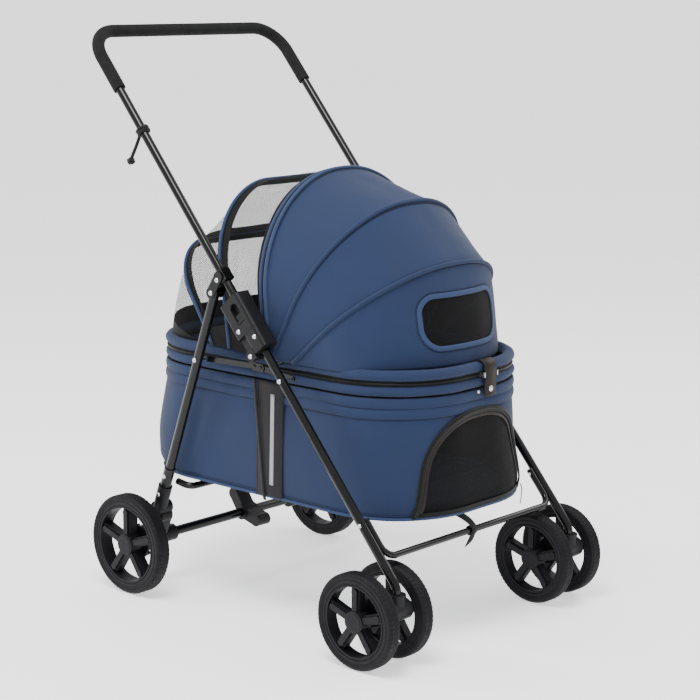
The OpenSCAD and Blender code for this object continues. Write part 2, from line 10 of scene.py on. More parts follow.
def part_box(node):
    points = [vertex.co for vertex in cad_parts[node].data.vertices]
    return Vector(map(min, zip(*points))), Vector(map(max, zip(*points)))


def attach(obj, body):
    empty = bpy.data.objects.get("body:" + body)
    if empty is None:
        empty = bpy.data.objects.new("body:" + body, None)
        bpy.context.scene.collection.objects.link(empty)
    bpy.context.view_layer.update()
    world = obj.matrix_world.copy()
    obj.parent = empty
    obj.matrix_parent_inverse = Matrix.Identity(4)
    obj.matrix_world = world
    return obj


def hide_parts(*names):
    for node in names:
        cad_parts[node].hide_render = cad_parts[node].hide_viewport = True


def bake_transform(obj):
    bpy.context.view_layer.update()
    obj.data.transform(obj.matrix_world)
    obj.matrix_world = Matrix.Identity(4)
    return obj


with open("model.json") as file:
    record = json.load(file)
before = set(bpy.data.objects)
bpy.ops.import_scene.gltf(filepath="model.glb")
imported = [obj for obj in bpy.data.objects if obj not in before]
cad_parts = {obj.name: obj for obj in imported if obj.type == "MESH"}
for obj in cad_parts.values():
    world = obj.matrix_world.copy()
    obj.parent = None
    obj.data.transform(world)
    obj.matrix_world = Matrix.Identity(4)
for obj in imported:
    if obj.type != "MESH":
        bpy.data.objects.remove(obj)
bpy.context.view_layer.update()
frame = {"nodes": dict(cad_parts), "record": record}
nodes = frame["nodes"]


def centre(node):
    low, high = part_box(node)
    return [(a + b) / 2 for a, b in zip(low, high)]


RX = centre("rear_axle")[0]
TRAY_LOW, TRAY_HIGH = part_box("tray")
TX0, TX1, TZ0 = TRAY_LOW[0], TRAY_HIGH[0], TRAY_LOW[2]
HALF = TRAY_HIGH[1]
CORNER = 0.150
LID_Z = centre("lid_rim")[2]
RIM_Z = centre("tray_rim")[2]
GAP_Z = (LID_Z + RIM_Z) / 2
PIVOT = (RX + 0.320, LID_Z)

# ------------------------------------------------------------------ materials


def material(name, color, rough, metallic=0.0, spec=0.5, **sockets):
    m = bpy.data.materials.new(name)
    m.use_nodes = True
    b = m.node_tree.nodes["Principled BSDF"]
    b.inputs["Base Color"].default_value = (*color, 1)
    b.inputs["Roughness"].default_value = rough
    b.inputs["Metallic"].default_value = metallic
    b.inputs["Specular IOR Level"].default_value = spec
    for key, value in sockets.items():
        b.inputs[key.replace("_", " ")].default_value = value
    return m


class Nodes:
    """Short hand for building a node tree."""

    def __init__(self, m):
        self.t = m.node_tree
        self.b = self.t.nodes["Principled BSDF"]

    def new(self, kind, **props):
        n = self.t.nodes.new("ShaderNode" + kind)
        for k, v in props.items():
            setattr(n, k, v)
        return n

    def link(self, a, b):
        self.t.links.new(a, b)

    def put(self, socket, value):
        if hasattr(value, "is_output"):
            self.link(value, socket)
        else:
            socket.default_value = value

    def math(self, op, a, b=0.0, c=None):
        n = self.new("Math", operation=op)
        self.put(n.inputs[0], a)
        self.put(n.inputs[1], b)
        if c is not None:
            self.put(n.inputs[2], c)
        return n.outputs[0]

    def coords(self, kind="Object"):
        return self.new("TexCoord").outputs[kind]

    def noise(self, vec, scale, detail=3.0, rough=0.5):
        n = self.new("TexNoise")
        self.link(vec, n.inputs["Vector"])
        n.inputs["Scale"].default_value = scale
        n.inputs["Detail"].default_value = detail
        n.inputs["Roughness"].default_value = rough
        return n.outputs["Fac"]

    def ramp(self, fac, low, high, a=0.0, b=1.0):
        n = self.new("MapRange")
        self.put(n.inputs["Value"], fac)
        n.inputs["From Min"].default_value = low
        n.inputs["From Max"].default_value = high
        n.inputs["To Min"].default_value = a
        n.inputs["To Max"].default_value = b
        return n.outputs[0]

    def mix(self, fac, a, b):
        n = self.new("Mix", data_type="RGBA")
        self.put(n.inputs[0], fac)
        for s, v in ((n.inputs[6], a), (n.inputs[7], b)):
            if hasattr(v, "is_output"):
                self.link(v, s)
            else:
                s.default_value = (*v, 1)
        return n.outputs[2]

    def bump(self, *layers):
        """layers of (height, strength, distance)"""
        normal = None
        for h, strength, dist in layers:
            n = self.new("Bump")
            n.inputs["Strength"].default_value = strength
            n.inputs["Distance"].default_value = dist
            self.link(h, n.inputs["Height"])
            if normal is not None:
                self.link(normal, n.inputs["Normal"])
            normal = n.outputs[0]
        self.link(normal, self.b.inputs["Normal"])


def shade(c, f):
    return tuple(min(1, x * f) for x in c)


def weave_height(n, vec, pitch):
    """Plain weave: threads along two directions, one over the other."""
    s = n.new("SeparateXYZ")
    n.link(vec, s.inputs[0])
    k = 2 * math.pi / pitch
    u = n.math("SINE", n.math("MULTIPLY", n.math("ADD", s.outputs[0], s.outputs[1]), k * 0.8))
    v = n.math("SINE", n.math("MULTIPLY", s.outputs[2], k))
    w = n.math("MULTIPLY", u, v)
    return n.ramp(w, -1, 1)


def cloth(name, color, rough=0.8, pitch=0.0009, vary=0.12, sheen=0.10, bump=0.35):
    m = material(name, color, rough, spec=0.16, Sheen_Weight=sheen * 0.7, Sheen_Roughness=0.5)
    n = Nodes(m)
    c = n.coords()
    big = n.noise(c, 9, 4)
    fine = n.noise(c, 900, 2)
    weave = weave_height(n, c, pitch)
    tone = n.mix(n.ramp(big, 0.3, 0.7), shade(color, 1 - vary), shade(color, 1 + vary))
    tone = n.mix(n.ramp(weave, 0.2, 0.8, 0.0, 0.55), tone, shade(color, 0.72))
    tone = n.mix(n.ramp(fine, 0.35, 0.75, 0.0, 0.25), tone, shade(color, 1.5))
    n.link(tone, n.b.inputs["Base Color"])
    n.link(n.ramp(big, 0.3, 0.7, rough - 0.07, rough + 0.07), n.b.inputs["Roughness"])
    n.bump((n.noise(c, 60, 3), 0.12, 0.002), (weave, bump, 0.0004))
    return m


def mesh_cloth(name, color, pitch, aspect=0.62, hole=0.27, rough=0.7):
    """Open knitted mesh: staggered holes on the piece's own UV map, in metres.
    The solid attribute closes the holes, for borders."""
    m = material(name, color, rough, spec=0.10, Sheen_Weight=0.02)
    n = Nodes(m)
    uv = n.new("UVMap").outputs[0]
    holes = []
    for shift in (0.0, 0.5):
        mp = n.new("Mapping")
        n.link(uv, mp.inputs["Vector"])
        mp.inputs["Scale"].default_value = (1 / pitch, 1 / (pitch * aspect), 1)
        mp.inputs["Location"].default_value = (shift, shift, 0)
        f = n.new("VectorMath", operation="FRACTION")
        n.link(mp.outputs[0], f.inputs[0])
        s = n.new("VectorMath", operation="SUBTRACT")
        n.link(f.outputs[0], s.inputs[0])
        s.inputs[1].default_value = (0.5, 0.5, 0)
        q = n.new("VectorMath", operation="MULTIPLY")
        n.link(s.outputs[0], q.inputs[0])
        q.inputs[1].default_value = (1, aspect, 0)
        d = n.new("VectorMath", operation="LENGTH")
        n.link(q.outputs[0], d.inputs[0])
        holes.append(d.outputs["Value"])
    d = n.math("MINIMUM", holes[0], holes[1])
    solid = n.new("Attribute", attribute_name="solid").outputs["Fac"]
    d = n.math("ADD", d, solid)
    n.link(n.math("GREATER_THAN", d, hole), n.b.inputs["Alpha"])
    c = n.coords()
    tone = n.mix(n.noise(c, 350, 2), shade(color, 0.6), shade(color, 1.8))
    n.link(tone, n.b.inputs["Base Color"])
    n.bump((n.ramp(d, hole, 0.5), 0.6, 0.0006))
    return m


def plastic(name, color, rough=0.5, grain=0.25, scale=1400, coat=0.0):
    m = material(name, color, rough, spec=0.17, Coat_Weight=coat, Coat_Roughness=0.2)
    n = Nodes(m)
    c = n.coords()
    g = n.noise(c, scale, 3)
    worn = n.noise(c, 30, 5)
    n.link(n.mix(n.ramp(worn, 0.35, 0.75), shade(color, 0.85), shade(color, 1.25)), n.b.inputs["Base Color"])
    n.link(n.ramp(n.noise(c, 80, 4), 0.3, 0.7, rough - 0.06, rough + 0.08), n.b.inputs["Roughness"])
    n.bump((g, grain, 0.0004))
    return m


def paint(name, color, rough=0.22):
    m = material(name, color, rough, spec=0.22, Coat_Weight=0.10, Coat_Roughness=0.04)
    n = Nodes(m)
    c = n.coords()
    peel = n.noise(c, 240, 2)
    n.link(n.mix(n.noise(c, 25, 4), shade(color, 0.8), shade(color, 1.3)), n.b.inputs["Base Color"])
    n.link(n.ramp(n.noise(c, 55, 5), 0.35, 0.7, rough - 0.04, rough + 0.1), n.b.inputs["Roughness"])
    n.bump((peel, 0.06, 0.0006))
    return m


def metal(name, color, rough=0.25):
    m = material(name, color, rough, metallic=1.0)
    n = Nodes(m)
    c = n.coords()
    n.link(n.ramp(n.noise(c, 900, 3), 0.3, 0.7, rough - 0.08, rough + 0.14), n.b.inputs["Roughness"])
    n.link(n.mix(n.noise(c, 300, 3), shade(color, 0.8), color), n.b.inputs["Base Color"])
    n.bump((n.noise(c, 2500, 2), 0.08, 0.0002))
    return m


NAVY = (0.0135, 0.0245, 0.064)
M = {
    "navy": cloth("navy_cloth", NAVY),
    "binding": cloth("navy_binding", (0.021, 0.039, 0.095), 0.7, 0.0012),
    # a darker copy of the navy: thread of the real seams and stitches, and also the painted shade strips beside the
    # hoop sleeves
    "dark_binding": cloth("dark_binding", (0.006, 0.011, 0.030), 0.7, 0.0012),
    "black_cloth": cloth("black_cloth", (0.004, 0.004, 0.0045), 0.8, 0.0011, 0.25, 0.15),
    "webbing": cloth("black_webbing", (0.005, 0.005, 0.0055), 0.75, 0.0016, 0.2, 0.2, 0.6),
    "band": cloth("black_band", (0.007, 0.006, 0.008), 0.62, 0.0012, 0.2, 0.15, 0.4),
    "pad": cloth("pad_cover", (0.05, 0.07, 0.13), 0.85, 0.0014),
    "lining": cloth("dark_lining", (0.007, 0.008, 0.011), 0.85, 0.001),
    "hood_net": mesh_cloth("hood_net", (0.004, 0.004, 0.0045), 0.0052, 0.62, 0.25),
    "fine_net": mesh_cloth("fine_net", (0.0045, 0.0045, 0.005), 0.0040, 0.66, 0.21),
    "paint": paint("black_paint", (0.003, 0.003, 0.0034), 0.16),
    "plastic": plastic("black_plastic", (0.008, 0.008, 0.009), 0.42),
    "wheel": plastic("wheel_plastic", (0.006, 0.0057, 0.0075), 0.5, 0.3, 1100),
    "tyre": plastic("tyre_foam", (0.0045, 0.0043, 0.0055), 0.62, 0.5, 700),
    "foam": plastic("grip_foam", (0.005, 0.005, 0.0055), 0.78, 0.9, 520),
    "zip": plastic("zip_coil", (0.005, 0.005, 0.0055), 0.4, 0.4, 800),
    "steel": metal("rivet_steel", (0.62, 0.62, 0.64)),
    "leather": plastic("latch_leather", (0.012, 0.008, 0.007), 0.5, 0.7, 420),
    "reflect": cloth("reflective_tape", (0.30, 0.30, 0.32), 0.4, 0.0008),
    "board": plastic("floor_board", (0.02, 0.02, 0.022), 0.7),
}

by_slot = {
    "frame_paint": "paint", "black_plastic": "plastic", "tyre_foam": "tyre", "grip_foam": "foam",
    "rivet_steel": "steel", "navy_fabric": "navy", "navy_binding": "binding", "black_fabric": "black_cloth",
    "floor_pad_cloth": "pad", "floor_board_card": "board", "latch_leather": "leather",
}
slot_of = {s["node"]: s["material_slot"] for s in frame["record"]["subparts"]}
for name, obj in nodes.items():
    key = "wheel" if "_wheel_" in name else by_slot[slot_of[name]]
    obj.data.materials.clear()
    obj.data.materials.append(M[key])

# ------------------------------------------------------------------ mesh tools


def make(name, verts, faces, mat, uv=None, solid=None, smooth=True):
    me = bpy.data.meshes.new(name)
    me.from_pydata([tuple(map(float, v)) for v in verts], [], [tuple(int(i) for i in f) for f in faces])
    me.validate()
    if uv is not None:
        layer = me.uv_layers.new(name="UVMap")
        idx = np.zeros(len(me.loops), np.int32)
        me.loops.foreach_get("vertex_index", idx)
        layer.data.foreach_set("uv", np.asarray(uv, np.float32)[idx].ravel())
    if solid is not None:
        a = me.attributes.new("solid", "FLOAT", "POINT")
        a.data.foreach_set("value", np.asarray(solid, np.float32))
    me.polygons.foreach_set("use_smooth", [smooth] * len(me.polygons))
    obj = bpy.data.objects.new(name, me)
    bpy.context.scene.collection.objects.link(obj)
    for m in mat if isinstance(mat, (list, tuple)) else [mat]:
        me.materials.append(M[m])
    return obj


def grid_faces(rows, cols, close_u=False, close_v=False):
    out = []
    for i in range(rows if close_v else rows - 1):
        for j in range(cols if close_u else cols - 1):
            a, b = i * cols + j, i * cols + (j + 1) % cols
            c, d = ((i + 1) % rows) * cols + (j + 1) % cols, ((i + 1) % rows) * cols + j
            out.append((a, b, c, d))
    return out


def grid(name, p, mat, close_u=False, close_v=False, uv=False, solid=None):
    p = np.asarray(p, float)
    rows, cols = p.shape[:2]
    tex = None
    if uv:
        du = np.zeros((rows, cols))
        dv = np.zeros((rows, cols))
        du[:, 1:] = np.cumsum(np.linalg.norm(np.diff(p, axis=1), axis=2), axis=1)
        du -= du[:, cols // 2][:, None]
        dv[1:] = np.cumsum(np.linalg.norm(np.diff(p, axis=0), axis=2), axis=0)
        mid = dv[:, cols // 2][:, None]
        tex = np.stack([du, 0 * dv + mid], axis=2).reshape(-1, 2)
    return make(name, p.reshape(-1, 3), grid_faces(rows, cols, close_u, close_v), mat, tex,
                None if solid is None else np.asarray(solid).ravel())


def evaluated(obj):
    """Applies the object's modifiers to its mesh."""
    bpy.context.view_layer.update()
    me = bpy.data.meshes.new_from_object(obj.evaluated_get(bpy.context.evaluated_depsgraph_get()))
    obj.modifiers.clear()
    old, obj.data = obj.data, me
    bpy.data.meshes.remove(old)
    return obj


def thicken(obj, t, offset=-1.0, inner=None):
    m = obj.modifiers.new("thick", "SOLIDIFY")
    m.thickness = t
    m.offset = offset
    m.use_even_offset = True
    if inner is not None:
        obj.data.materials.append(M[inner])
        m.material_offset = 1
        m.material_offset_rim = 0
    return evaluated(obj)


def cut(obj, cutter, operation="DIFFERENCE", keep_cutter=False):
    m = obj.modifiers.new("cut", "BOOLEAN")
    m.operation = operation
    m.object = cutter
    m.solver = "EXACT"
    evaluated(obj)
    if not keep_cutter:
        bpy.data.objects.remove(cutter)
    return obj


def frames_along(p, closed, up=None):
    """Tangent, side and normal at each point of a path. up fixes the normal, point by point or for all."""
    p = np.asarray(p, float)
    t = np.roll(p, -1, 0) - np.roll(p, 1, 0) if closed else np.gradient(p, axis=0)
    t /= np.linalg.norm(t, axis=1)[:, None]
    if up is None:
        n = np.zeros_like(p)
        ref = np.array([0.0, 0.0, 1.0]) if abs(t[0][2]) < 0.9 else np.array([1.0, 0.0, 0.0])
        n[0] = ref - t[0] * (ref @ t[0])
        for i in range(1, len(p)):
            n[i] = n[i - 1] - t[i] * (n[i - 1] @ t[i])
            n[i] /= np.linalg.norm(n[i])
        n[0] /= np.linalg.norm(n[0])
    else:
        n = np.broadcast_to(np.asarray(up, float), p.shape).copy()
        n -= t * np.sum(n * t, axis=1)[:, None]
        n /= np.linalg.norm(n, axis=1)[:, None]
    return t, np.cross(t, n), n


def sweep(name, path, profile, mat, closed=False, up=None, scale=None, caps=True):
    """A profile of (side, normal) points swept along a path. scale is a size for each path point."""
    path = np.asarray(path, float)
    _, side, normal = frames_along(path, closed, up)
    prof = np.asarray(profile, float)
    k = np.ones(len(path)) if scale is None else np.asarray(scale, float)
    p = (path[:, None, :] + side[:, None, :] * prof[None, :, 0, None] * k[:, None, None]
         + normal[:, None, :] * prof[None, :, 1, None] * k[:, None, None])
    rows, cols = p.shape[:2]
    faces = grid_faces(rows, cols, True, closed)
    if caps and not closed:
        faces += [tuple(range(cols))[::-1], tuple((rows - 1) * cols + j for j in range(cols))]
    obj = make(name, p.reshape(-1, 3), faces, mat)
    return tidy_normals(obj)


def tidy_normals(obj):
    bm = bmesh.new()
    bm.from_mesh(obj.data)
    bmesh.ops.recalc_face_normals(bm, faces=bm.faces)
    bm.to_mesh(obj.data)
    bm.free()
    return obj


def round_profile(r, n=12, squash=1.0):
    a = np.linspace(0, 2 * math.pi, n, endpoint=False)
    return np.stack([r * np.cos(a), r * squash * np.sin(a)], axis=1)


def strap_profile(width, thick):
    w, t = width / 2, thick / 2
    e = min(t * 0.9, w * 0.3)
    pts = [(-w, -t * 0.4), (-w + e, -t), (0, -t), (w - e, -t), (w, -t * 0.4),
           (w, t * 0.4), (w - e, t), (0, t), (-w + e, t), (-w, t * 0.4)]
    return np.array(pts)


def smooth_path(points, n=60, closed=False):
    """A Catmull-Rom curve through the points, resampled evenly."""
    p = np.asarray(points, float)
    if closed:
        p = np.vstack([p[-1], p, p[0], p[1]])
    else:
        p = np.vstack([2 * p[0] - p[1], p, 2 * p[-1] - p[-2]])
    out = []
    for i in range(1, len(p) - 2):
        for t in np.linspace(0, 1, 24, endpoint=False):
            a, b, c, d = p[i - 1], p[i], p[i + 1], p[i + 2]
            out.append(0.5 * (2 * b + (c - a) * t + (2 * a - 5 * b + 4 * c - d) * t * t
                              + (3 * b - a - 3 * c + d) * t ** 3))
    if not closed:
        out.append(p[-2])
    return resample(np.array(out), n, closed)


def resample(p, n, closed=False):
    q = np.vstack([p, p[:1]]) if closed else p
    s = np.concatenate([[0], np.cumsum(np.linalg.norm(np.diff(q, axis=0), axis=1))])
    u = np.linspace(0, s[-1], n, endpoint=not closed)
    return np.stack([np.interp(u, s, q[:, k]) for k in range(3)], axis=1)


def wobble(p, scale, seed=0.0):
    return noise.noise(Vector((p[0] * scale + seed, p[1] * scale - seed, p[2] * scale + 2 * seed)))


def riding(obj, body, *stands_for):
    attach(obj, body)
    if stands_for:
        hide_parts(*stands_for)
    return obj


# ------------------------------------------------------------------ carrier outline


def plan(inset, counts=(10, 36, 48, 36, 10, 36, 48, 36)):
    """Points and outward normals round the carrier's outline, from the rear, left side first."""
    r = max(CORNER - inset, 0.0005)
    h, x0, x1 = HALF - inset, TX0 + inset, TX1 - inset
    cx0, cx1, cy = x0 + r, x1 - r, h - r
    pts, nrm = [], []

    def line(a, b, n, k):
        for i in range(k):
            t = i / k
            pts.append((a[0] + (b[0] - a[0]) * t, a[1] + (b[1] - a[1]) * t))
            nrm.append(n)

    def arc(c, a0, k):
        for i in range(k):
            a = math.radians(a0 - 90 * i / k)
            pts.append((c[0] + r * math.cos(a), c[1] + r * math.sin(a)))
            nrm.append((math.cos(a), math.sin(a)))

    line((x0, -cy), (x0, cy), (-1, 0), counts[0])
    arc((cx0, cy), 180, counts[1])
    line((cx0, h), (cx1, h), (0, 1), counts[2])
    arc((cx1, cy), 90, counts[3])
    line((x1, cy), (x1, -cy), (1, 0), counts[4])
    arc((cx1, -cy), 0, counts[5])
    line((cx1, -h), (cx0, -h), (0, -1), counts[6])
    arc((cx0, -cy), -90, counts[7])
    return np.array(pts), np.array(nrm)


def ring_path(inset, z):
    p, n = plan(inset)
    return np.column_stack([p, np.full(len(p), z)]), np.column_stack([n, np.zeros(len(n))])


def step(x, a, b):
    t = min(1.0, max(0.0, (x - a) / (b - a)))
    return t * t * (3 - 2 * t)


def flare(z, nx):
    """The cloth walls lean out towards the bottom, most at the back."""
    tuck = step(z, 0.208, 0.240)
    back = 0.0155 * step(-nx, 0.05, 0.75) * step(z, 0.405, 0.255) * (0.35 + 0.65 * tuck)
    front = 0.0105 * step(nx, 0.1, 0.7) * step(z, 0.325, 0.228) * (0.6 + 0.4 * tuck)
    return back + front


def wall_point(y, z, out=0.0):
    """The point of the front wall's outer face at a given y and height, and its normal."""
    y0 = y
    for _ in range(4):
        d = math.copysign(max(0.0, abs(y0) - (HALF - CORNER)), y0)
        d = max(-CORNER, min(CORNER, d))
        nx, ny = math.sqrt(max(CORNER ** 2 - d * d, 0)) / CORNER, d / CORNER
        o = out + flare(z, nx)
        y0 = y - ny * o
    return (TX1 - CORNER + (CORNER + o) * nx, y, z), (nx, ny, 0.0)


# ------------------------------------------------------------------ basket
TOP = TRAY_HIGH[2]
SEAM0, SEAM1 = TOP - 0.0355, TOP - 0.0180


def basket_offset(z):
    """How far the outer cloth stands out from the nominal wall at a height."""
    if z > SEAM0:
        t = (z - SEAM0) / (SEAM1 - SEAM0) if z < SEAM1 else (z - SEAM1) / (TOP - SEAM1)
        return -0.0034 + 0.0034 * math.sin(math.pi * min(max(t, 0), 1)) ** 0.6
    t = (z - 0.214) / (SEAM0 - 0.214)
    return -0.0036 + 0.0030 * math.sin(math.pi * min(max(t, 0), 1)) ** 0.7


levels = [0.2108, 0.2118, 0.2135, 0.216, 0.219] + list(np.linspace(0.226, SEAM0 - 0.0045, 22)) + [
    SEAM0 - 0.0018, SEAM0, SEAM0 + 0.0018, SEAM0 + 0.0045, SEAM0 + 0.009, SEAM1 - 0.0045, SEAM1 - 0.0018, SEAM1,
    SEAM1 + 0.0018, SEAM1 + 0.0045, SEAM1 + 0.009, TOP - 0.0045, TOP - 0.0018, TOP - 0.0002]
rows = []
for inset, z in ((0.185, 0.2104), (0.12, 0.2104), (0.05, 0.2104), (0.012, 0.2104)):
    p, n = plan(inset)
    rows.append(np.column_stack([p, np.full(len(p), z)]))
for z in levels:
    p, n = plan(0.0)
    round_in = 0.006 * max(0.0, 1 - (z - 0.2104) / 0.005) ** 1.6
    row = []
    for (x, y), (nx, ny) in zip(p, n):
        q = (x, y, z)
        lift = 0.0014 * wobble((x, y, 0), 9, 3.1) if SEAM0 - 0.006 < z < TOP - 0.003 else 0.0
        o = basket_offset(z - lift) - round_in + flare(z, nx)
        free = min(1.0, (z - 0.214) / 0.03) * min(1.0, max(0.0, (SEAM0 - z) / 0.03)) if z < SEAM0 else 0.25
        fold = (x - (RX + 0.116 + 0.2 * (z - 0.33))) / 0.016
        crease = 0.0034 * math.exp(-fold * fold) * step(abs(y), 0.15, 0.18) * min(1, max(0, (TOP - z) / 0.02))
        soft = 0.0011 * wobble(q, 11, 1.7) + 0.0006 * wobble(q, 31, 5.2)
        o += soft * max(free, 0.15) - crease * max(0.25, free)
        row.append((x + nx * o, y + ny * o, z + lift))
    rows.append(np.array(row))
inner = []
for z in (TOP - 0.0002, 0.39, 0.33, 0.27, 0.2165):
    p, n = plan(0.0062)
    o = np.array([max(0.0, flare(z, m[0]) - 0.001) for m in n])[:, None]
    inner.append(np.column_stack([p + n * o, np.full(len(p), z)]))
for inset in (0.012, 0.05, 0.12, 0.185):
    p, n = plan(inset)
    inner.append(np.column_stack([p, np.full(len(p), 0.2135)]))
allrows = np.array(rows + inner)
nr, nc = allrows.shape[:2]
faces = grid_faces(nr, nc, True, False)
faces += [tuple(range(nc)), tuple((nr - 1) * nc + j for j in range(nc))[::-1]]
basket = make("basket", allrows.reshape(-1, 3), faces, ["navy", "lining"])
tidy_normals(basket)
for f in basket.data.polygons:
    if f.index // nc >= len(rows) - 1 and f.index < (nr - 1) * nc:
        f.material_index = 1


DOOR = [(0.136, 0.2165), (0.1285, 0.255), (0.1200, 0.290), (0.1080, 0.322), (0.0910, 0.347), (0.0650, 0.3655), (0.0330, 0.3750)]


def door_line(grow=0.0, n=120):
    """The door's outline from its lower right corner, up and over; grow moves it outwards."""
    pts = [(-y, z) for y, z in DOOR] + [(0.0, 0.3770)] + DOOR[::-1]
    p = smooth_path([(0, y, z) for y, z in pts], n)
    t = np.gradient(p, axis=0)
    t /= np.linalg.norm(t, axis=1)[:, None]
    return [(y - tz * grow, z + ty * grow) for (_, y, z), (_, ty, tz) in zip(p, t)]


def prism(name, outline, x0, x1):
    n = len(outline)
    verts = [(x0, y, z) for y, z in outline] + [(x1, y, z) for y, z in outline]
    faces = [tuple(range(n)), tuple(range(2 * n - 1, n - 1, -1))]
    faces += [(i, i + n, (i + 1) % n + n, (i + 1) % n) for i in range(n)]
    return tidy_normals(make(name, verts, faces, "navy", smooth=False))


cut(basket, prism("door_cut", door_line(-0.004), TX1 - 0.110, TX1 + 0.04))
riding(basket, "frame", "tray", "carrier_straps")


def front_patch(name, y_half, z0, z1, inset, mat, step=0.004):
    ys = np.arange(-y_half, y_half + step / 2, step)
    zs = np.arange(z0, z1 + step / 2, step)
    p = np.array([[wall_point(y, z, 0.0010 * wobble((0, y, z), 12, 8) - inset)[0] for y in ys] for z in zs])
    return grid(name, p, mat, uv=True)


door = front_patch("door_net", 0.142, 0.2145, 0.379, 0.0036, "fine_net")
thicken(door, 0.0009)
cut(door, prism("door_keep", door_line(-0.001), TX1 - 0.115, TX1 + 0.04), "INTERSECT")
riding(door, "frame", "mesh_door")


def wall_ribbon(name, outline, width, thick, out, mat, n=170):
    flat = resample(np.array([(0, y, z) for y, z in outline]), n)
    both = [wall_point(y, z, out) for _, y, z in flat]
    nrm = np.array([b for _, b in both])
    return sweep(name, np.array([a for a, _ in both]), strap_profile(width, thick), mat, up=nrm)


riding(wall_ribbon("door_zip_tape", door_line(0.0), 0.0100, 0.0018, 0.0000, "webbing"), "frame")
riding(wall_ribbon("door_zip_coil", door_line(0.0005), 0.0034, 0.0022, 0.0012, "zip"), "frame")
riding(wall_ribbon("door_binding", door_line(-0.0085), 0.0070, 0.0014, -0.0022, "leather"), "frame")
sill = [(y, 0.2200) for y in np.linspace(-0.128, 0.128, 60)]
riding(wall_ribbon("door_sill", sill, 0.0085, 0.0016, -0.0012, "black_cloth"), "frame")
q, m = wall_point(0.131, 0.226, 0.004)
pull = smooth_path([q, (q[0] + 0.003, q[1] + 0.001, 0.218), (q[0] + 0.002, q[1] + 0.002, 0.205), (q[0], q[1] + 0.002, 0.190)], 24)
riding(sweep("door_zip_pull", pull, strap_profile(0.0050, 0.0016), "webbing", up=m), "frame")

# piping round the bottom, and the bottom edge's roll
def flared(z, out):
    """A ring round the basket's outer face."""
    p, n = ring_path(0.0, z)
    return p + n * np.array([out + flare(z, m[0]) for m in n])[:, None], n


roll, n = flared(0.2150, -0.0014)
riding(sweep("bottom_piping", roll, round_profile(0.0026, 8), "binding", closed=True, up=(0, 0, 1)), "frame")
p, n = flared(0.2222, -0.0030)
riding(sweep("bottom_seam", p, strap_profile(0.0012, 0.0010), "dark_binding", closed=True, up=n), "frame")

# seams of the pleated band below the rim
for i, z in enumerate((SEAM0, SEAM1)):
    p, n = flared(z, -0.0031)
    q = [a + np.array([0, 0, 0.0014 * wobble((a[0], a[1], 0), 9, 3.1)]) for a, b in zip(p, n)]
    riding(sweep(f"band_seam_{i}", q, strap_profile(0.0016, 0.0012), "dark_binding", closed=True, up=n), "frame")


# ------------------------------------------------------------------ rims
def rim(name, z, body, stands, seed):
    p, n = ring_path(0.0100, z)
    k = [1 + 0.03 * wobble(q, 25, seed) for q in p]
    prof = []
    for i in range(20):
        a = 2 * math.pi * i / 20
        prof.append((0.0100 * math.cos(a), 0.0088 * math.sin(a)))
    o = sweep(name, p, prof, "navy", closed=True, up=(0, 0, 1), scale=k)
    for v in o.data.vertices:
        w = 0.0004 * wobble(v.co, 90, seed) + 0.0005 * wobble(v.co, 30, seed + 4)
        v.co += v.normal * w
    riding(o, body, stands)


rim("lower_rim", RIM_Z, "frame", "tray_rim", 2.0)
rim("upper_rim", LID_Z, "lid", "lid_rim", 7.0)
p, n = ring_path(0.0058, GAP_Z)
riding(sweep("rim_zip_tape", p, strap_profile(0.0125, 0.0012), "black_cloth", closed=True, up=n), "frame")
riding(sweep("rim_zip_coil", p + n * 0.0016, round_profile(0.0016, 8), "zip", closed=True, up=(0, 0, 1)), "frame")
for z, out, name, body in ((GAP_Z - 0.0045, 0.0046, "lower_rim_seam", "frame"), (GAP_Z + 0.0045, 0.0046, "upper_rim_seam", "lid")):
    p, n = ring_path(0.0100, z)
    riding(sweep(name, p + n * out, strap_profile(0.0011, 0.0009), "dark_binding", closed=True, up=(0, 0, 1)), body)


# ------------------------------------------------------------------ canopy
def rib(x, angle, height, corner, half, zmin, n=61):
    """A hoop's line, from its right foot over the top to its left foot, in metres."""
    a = math.radians(angle)
    ux, uz = math.cos(a), math.sin(a)
    s0 = max(0.0, (zmin - LID_Z) / uz)
    side = height - corner
    if s0 > side:
        s0 = side + corner * math.asin(min(1, (s0 - side) / corner))
    total = side + corner * math.pi / 2 + half - corner
    out = []
    for v in np.linspace(-1, 1, n):
        s = total - (total - s0) * abs(v)
        if s < side:
            h, y = s, half
        elif s < side + corner * math.pi / 2:
            b = (s - side) / corner
            h, y = side + corner * math.sin(b), half - corner + corner * math.cos(b)
        else:
            h, y = height, half - corner - (s - side - corner * math.pi / 2)
        out.append((x + ux * h, math.copysign(y, v) if v else 0.0, LID_Z + uz * h))
    return np.array(out)


N = 81
BASE_Z = LID_Z + 0.004
front_hoop = rib(RX + 0.342, 41.0, 0.2550, 0.183, 0.1925, BASE_Z, N)
middle_hoop = rib(RX + 0.3013, 62.4, 0.2936, 0.190, 0.1990, BASE_Z, N)
zip_hoop = rib(RX + 0.3064, 94.4, 0.3060, 0.198, 0.2050, BASE_Z, N)
hood_0 = rib(RX + 0.2930, 94.6, 0.3030, 0.194, 0.2010, BASE_Z, N)
hood_1 = rib(RX + 0.200, 97.5, 0.2850, 0.132, 0.192, BASE_Z + 0.006, N)
hood_2 = rib(RX + 0.160, 121.9, 0.2074, 0.093, 0.188, BASE_Z + 0.006, N)


def outward(p, about=(PIVOT[0] - 0.05, 0, LID_Z)):
    d = p - np.array(about)
    return d / np.linalg.norm(d, axis=-1)[..., None]


